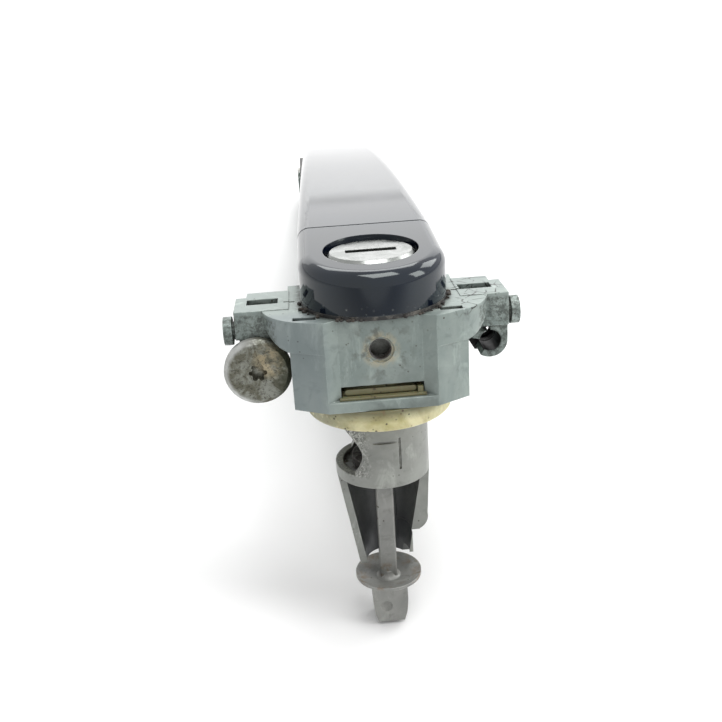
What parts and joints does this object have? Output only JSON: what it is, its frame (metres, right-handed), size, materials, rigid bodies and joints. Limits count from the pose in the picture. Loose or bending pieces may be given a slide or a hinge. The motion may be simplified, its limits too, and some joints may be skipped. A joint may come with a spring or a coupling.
{
  "type": "outer door handle",
  "caption": "Pull-type outer door handle on a cast bracket, with a key lock, its barrel and tail rod at one end and a spring-loaded lever behind the grip.",
  "frame": {"origin": "on the lock's axis, in the plane of the bracket's top, which lies against the door skin", "axes": "+Z out of the door along the lock's axis, +Y along the grip from the lock end to the hinge end, +X across the handle"},
  "size_m": [0.0618, 0.2306, 0.0922],
  "materials": {
    "zinc_casting": "satin grey-green zinc die casting with cloudy marks",
    "zinc_barrel": "satin grey zinc die casting",
    "paint": "glossy blue-black paint",
    "black_plastic": "fine grained black plastic",
    "cream_plastic": "aged cream plastic with dirt specks",
    "bright_steel": "bright lock face",
    "plug_brass": "drawn brass",
    "zinc_plated_steel": "dull plated steel with dirt",
    "weight_steel": "dark steel",
    "spring_steel": "spring wire",
    "rubber": "black rubber",
    "clip_plastic": "natural nylon"
  },
  "bodies": {
    "carrier": {"bracket": "zinc_casting", "lock_cap": "paint", "lock_housing": "zinc_barrel", "collar_ring": "cream_plastic", "plug_clip": "spring_steel", "clamp_screw": "zinc_plated_steel", "clamp_nuts": "zinc_plated_steel", "rear_gasket": "rubber", "front_gasket": "rubber", "rest_buffers": "rubber", "lever_pin": "zinc_plated_steel", "hinge_pin": "zinc_plated_steel", "lever_spring": "spring_steel"},
    "lock_rotor": {"lock_face": "bright_steel", "lock_plug": "plug_brass", "tail_rod": "zinc_barrel"},
    "grip": {"grip_shell": "paint", "grip_liner": "black_plastic", "grip_screws": "zinc_plated_steel", "pull_stirrup": "zinc_casting", "hinge_arm": "zinc_casting", "arm_screws": "zinc_plated_steel"},
    "lever": {"bell_crank": "zinc_casting", "counterweight": "weight_steel", "weight_rivet": "zinc_plated_steel", "rod_clip": "clip_plastic"}
  },
  "joints": [
    {"name": "grip_swing", "type": "hinge", "parent": "carrier", "child": "grip", "pos_m": [0, 0.19, -0.0055], "axis": [-1, 0, 0], "range_deg": [0, 8]},
    {"name": "lever_swing", "type": "hinge", "parent": "carrier", "child": "lever", "pos_m": [0, 0.05, -0.01], "axis": [-1, 0, 0], "range_deg": [0, 53], "stiffness_Nm_per_rad": 0.03, "springref_deg": -22.92, "deforming": ["lever_spring"]},
    {"name": "lock_turn", "type": "hinge", "parent": "carrier", "child": "lock_rotor", "pos_m": [0, 0, 0], "axis": [0, 0, 1], "range_deg": [-75, 75]}
  ],
  "couplings": [
    {"joint": "lever_swing", "follows": "grip_swing", "ratio": 6.5}
  ]
}
